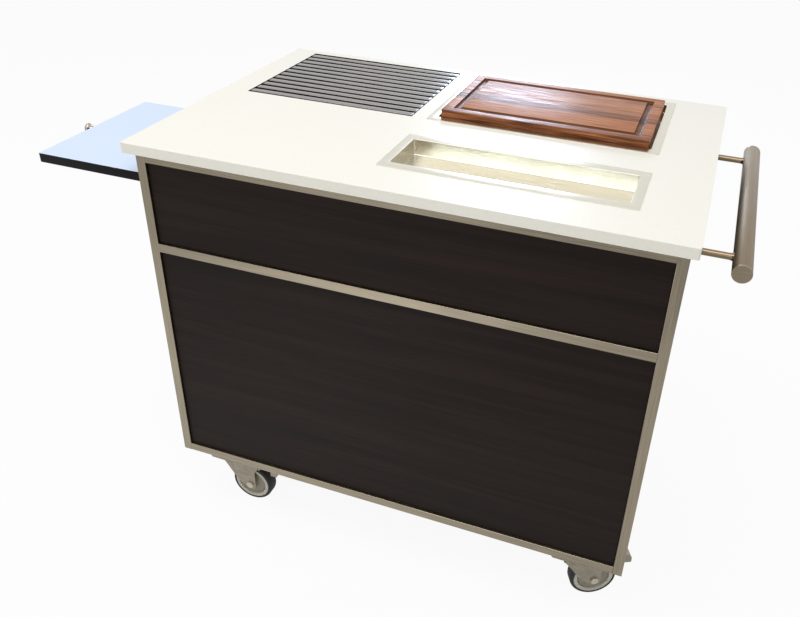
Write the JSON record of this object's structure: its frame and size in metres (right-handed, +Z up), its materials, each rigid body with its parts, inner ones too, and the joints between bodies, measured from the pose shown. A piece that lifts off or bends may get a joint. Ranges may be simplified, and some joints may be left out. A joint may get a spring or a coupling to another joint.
{
  "type": "flambe cart",
  "caption": "Wheeled serving cart with a slatted burner bay, cutting board, sunk tray, pull-out shelf, drawer, cupboard and push handle.",
  "frame": {"origin": "on the floor, under the middle of the cart's outline with the shelf pulled out", "axes": "+X along the cart towards the push handle, +Y towards the operator's side with the doors, +Z up"},
  "size_m": [1.3948, 0.7094, 0.929],
  "materials": {
    "frame_steel": "brushed stainless square tube",
    "panel": "dark laminate, satin",
    "carcass": "dark laminated board",
    "quartz": "polished white quartz",
    "polished_pan": "polished pressed stainless",
    "satin_sheet": "satin stainless sheet",
    "grate_steel": "satin stainless slats",
    "cast_iron": "cast, matt",
    "brass": "machined brass",
    "handle_steel": "brushed stainless tube",
    "zinc": "zinc-plated pressed steel",
    "shelf_board": "pale laminate with dark edges",
    "knob_steel": "turned stainless",
    "walnut": "oiled walnut",
    "black_knob": "moulded black",
    "cartridge": "painted steel can",
    "wheel_core": "moulded grey nylon",
    "tread": "moulded black rubber"
  },
  "bodies": {
    "cart_frame": {"corner_posts": "frame_steel", "long_rails": "frame_steel", "end_rails": "frame_steel", "bolsters": "zinc", "front_upper_panel": "panel", "front_lower_panel": "panel", "end_panels": "panel", "bottom_deck": "carcass", "middle_deck": "carcass", "bay_partition": "carcass", "worktop": "quartz", "board_pan": "polished_pan", "burner_well": "satin_sheet", "burner_head": "cast_iron", "gas_valve": "brass", "handle_tube": "handle_steel", "handle_caps": "handle_steel", "handle_standoffs": "handle_steel", "shelf_channels": "satin_sheet", "drawer_rails": "zinc", "hinge_leaves": "zinc", "caster_plates": "zinc", "caster_bolts": "zinc"},
    "shelf": {"pullout_shelf": "shelf_board", "shelf_knob": "knob_steel"},
    "drawer": {"drawer_box": "carcass", "drawer_front": "panel", "drawer_pull": "knob_steel", "drawer_runners": "zinc"},
    "left_cupboard_door": {"left_door": "panel", "left_door_hinges": "zinc", "left_door_pull": "knob_steel"},
    "right_cupboard_door": {"right_door": "panel", "right_door_hinges": "zinc", "right_door_pull": "knob_steel"},
    "loose_grate": {"grate": "grate_steel"},
    "loose_board": {"cutting_board": "walnut"},
    "loose_tray": {"front_tray": "polished_pan"},
    "control_knob": {"burner_knob": "black_knob"},
    "cartridge": {"gas_cartridge": "cartridge"},
    "caster_fl": {"caster_fl_fork": "zinc", "caster_fl_axle": "zinc"},
    "wheel_fl": {"caster_fl_core": "wheel_core", "caster_fl_tyre": "tread"},
    "brake_fl": {"caster_fl_pedal": "zinc"},
    "caster_fr": {"caster_fr_fork": "zinc", "caster_fr_axle": "zinc"},
    "wheel_fr": {"caster_fr_core": "wheel_core", "caster_fr_tyre": "tread"},
    "brake_fr": {"caster_fr_pedal": "zinc"},
    "caster_rl": {"caster_rl_fork": "zinc", "caster_rl_axle": "zinc"},
    "wheel_rl": {"caster_rl_core": "wheel_core", "caster_rl_tyre": "tread"},
    "brake_rl": {"caster_rl_pedal": "zinc"},
    "caster_rr": {"caster_rr_fork": "zinc", "caster_rr_axle": "zinc"},
    "wheel_rr": {"caster_rr_core": "wheel_core", "caster_rr_tyre": "tread"},
    "brake_rr": {"caster_rr_pedal": "zinc"}
  },
  "joints": [
    {"name": "shelf_slide", "type": "slide", "parent": "cart_frame", "child": "shelf", "axis": [1, 0, 0], "range_m": [0, 0.255]},
    {"name": "drawer_slide", "type": "slide", "parent": "cart_frame", "child": "drawer", "axis": [0, 1, 0], "range_m": [0, 0.4]},
    {"name": "left_door_hinge", "type": "hinge", "parent": "cart_frame", "child": "left_cupboard_door", "pos_m": [-0.39665, 0.3239, 0.4265], "axis": [0, 0, 1], "range_deg": [0, 110]},
    {"name": "right_door_hinge", "type": "hinge", "parent": "cart_frame", "child": "right_cupboard_door", "pos_m": [0.57985, 0.3239, 0.4265], "axis": [0, 0, -1], "range_deg": [0, 110]},
    {"name": "grate_lift", "type": "slide", "parent": "cart_frame", "child": "loose_grate", "axis": [0, 0, 1], "range_m": [0, 0.1]},
    {"name": "board_lift", "type": "slide", "parent": "cart_frame", "child": "loose_board", "axis": [0, 0, 1], "range_m": [0, 0.1]},
    {"name": "tray_lift", "type": "slide", "parent": "cart_frame", "child": "loose_tray", "axis": [0, 0, 1], "range_m": [0, 0.12]},
    {"name": "knob_turn", "type": "hinge", "parent": "cart_frame", "child": "control_knob", "pos_m": [-0.1809, 0.2877, 0.815], "axis": [0, 1, 0], "range_deg": [0, 180]},
    {"name": "cartridge_pull", "type": "slide", "parent": "cart_frame", "child": "cartridge", "axis": [0, 1, 0], "range_m": [0, 0.25]},
    {"name": "swivel_fl", "type": "hinge", "parent": "cart_frame", "child": "caster_fl", "pos_m": [-0.3174, -0.2703, 0.11], "axis": [0, 0, 1], "continuous": true},
    {"name": "roll_fl", "type": "hinge", "parent": "caster_fl", "child": "wheel_fl", "pos_m": [-0.2764, -0.2703, 0.0505], "axis": [0, 1, 0], "continuous": true},
    {"name": "pedal_fl", "type": "hinge", "parent": "caster_fl", "child": "brake_fl", "pos_m": [-0.2614, -0.2703, 0.1106], "axis": [0, 1, 0], "range_deg": [0, 12]},
    {"name": "swivel_fr", "type": "hinge", "parent": "cart_frame", "child": "caster_fr", "pos_m": [0.5006, -0.2703, 0.11], "axis": [0, 0, 1], "continuous": true},
    {"name": "roll_fr", "type": "hinge", "parent": "caster_fr", "child": "wheel_fr", "pos_m": [0.53697, -0.25137, 0.0505], "axis": [-0.4617, 0.887, 0], "continuous": true},
    {"name": "pedal_fr", "type": "hinge", "parent": "caster_fr", "child": "brake_fr", "pos_m": [0.55027, -0.24444, 0.1106], "axis": [-0.4617, 0.887, 0], "range_deg": [0, 12]},
    {"name": "swivel_rl", "type": "hinge", "parent": "cart_frame", "child": "caster_rl", "pos_m": [-0.3174, 0.2577, 0.11], "axis": [0, 0, 1], "continuous": true},
    {"name": "roll_rl", "type": "hinge", "parent": "caster_rl", "child": "wheel_rl", "pos_m": [-0.2773, 0.26622, 0.0505], "axis": [-0.2079, 0.9781, 0], "continuous": true},
    {"name": "pedal_rl", "type": "hinge", "parent": "caster_rl", "child": "brake_rl", "pos_m": [-0.26262, 0.26934, 0.1106], "axis": [-0.2079, 0.9781, 0], "range_deg": [0, 12]},
    {"name": "swivel_rr", "type": "hinge", "parent": "cart_frame", "child": "caster_rr", "pos_m": [0.5006, 0.2577, 0.11], "axis": [0, 0, 1], "continuous": true},
    {"name": "roll_rr", "type": "hinge", "parent": "caster_rr", "child": "wheel_rr", "pos_m": [0.52803, 0.22723, 0.0505], "axis": [0.7431, 0.6691, 0], "continuous": true},
    {"name": "pedal_rr", "type": "hinge", "parent": "caster_rr", "child": "brake_rr", "pos_m": [0.53807, 0.21608, 0.1106], "axis": [0.7431, 0.6691, 0], "range_deg": [0, 12]}
  ]
}
